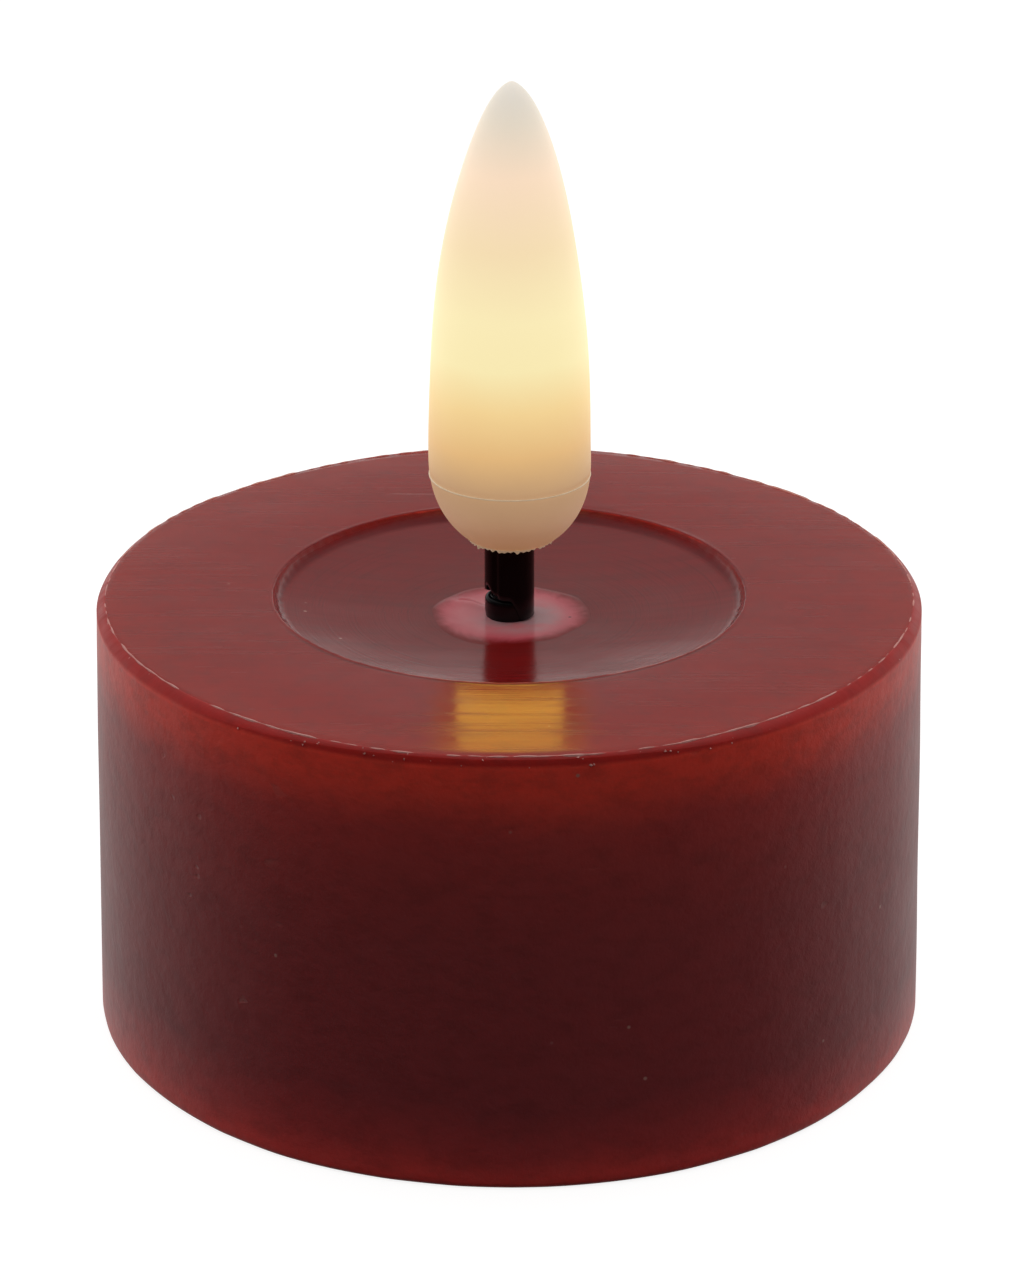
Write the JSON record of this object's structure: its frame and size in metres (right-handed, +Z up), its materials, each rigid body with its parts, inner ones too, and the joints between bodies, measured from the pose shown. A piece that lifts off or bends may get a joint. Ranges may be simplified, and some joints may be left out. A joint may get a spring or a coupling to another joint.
{
  "type": "flameless led candle",
  "caption": "Low round battery candle of dark red wax with a shallow well, a black wick and a lit translucent plastic flame.",
  "frame": {"origin": "on the floor under the flame, at the centre of the wax foot", "axes": "+Z up along the wick to the flame's tip, front towards -Y, switch towards +X"},
  "size_m": [0.0408, 0.0408, 0.0471],
  "materials": {
    "wax": "satin dark red wax",
    "pale_wax": "dull pinkish wax",
    "black_plastic": "glossy black",
    "flame": "translucent satin cream to amber, lit from inside",
    "lamp_lens": "clear lamp epoxy",
    "lamp_chip": "lit phosphor",
    "tinned_wire": "tinned",
    "module_plastic": "fine satin moulding",
    "screw_steel": "zinc plated",
    "cell_steel": "nickel plated",
    "cell_seal": "satin",
    "cathode_mix": "matt",
    "lithium": "dull",
    "contact_brass": "satin spring brass",
    "board": "solder mask over glass laminate",
    "chip_black": "moulding compound",
    "ceramic_tan": "satin",
    "switch_brown": "laminated phenolic",
    "knob_white": "satin"
  },
  "bodies": {
    "candle": {"wax_shell": "wax", "wax_plug": "pale_wax", "wick_post": "black_plastic", "stem_sleeve": "black_plastic", "flame_base": "flame", "flame_shell": "flame", "led_lens": "lamp_lens", "led_chip": "lamp_chip", "led_legs": "tinned_wire", "housing_cup": "module_plastic", "base_plate": "module_plastic", "housing_screws": "screw_steel", "cell_can": "cell_steel", "cell_cap": "cell_steel", "cell_gasket": "cell_seal", "cell_cathode": "cathode_mix", "cell_anode": "lithium", "positive_contact": "contact_brass", "negative_contact": "contact_brass", "circuit_board": "board", "timer_chip": "chip_black", "chip_pins": "tinned_wire", "resistors": "chip_black", "capacitor": "ceramic_tan", "timer_crystal": "cell_steel", "solder_joints": "tinned_wire", "switch_frame": "cell_steel", "switch_base": "switch_brown", "switch_pins": "tinned_wire"},
    "door": {"battery_door": "module_plastic"},
    "knob": {"switch_slider": "knob_white", "switch_wiper": "contact_brass"}
  },
  "joints": [
    {"name": "door_turn", "type": "hinge", "parent": "candle", "child": "door", "pos_m": [-0.0019, 0, 0.0011], "axis": [0, 0, -1], "range_deg": [0, 40]},
    {"name": "switch_slide", "type": "slide", "parent": "candle", "child": "knob", "axis": [0, -1, 0], "range_m": [0, 0.002]}
  ]
}
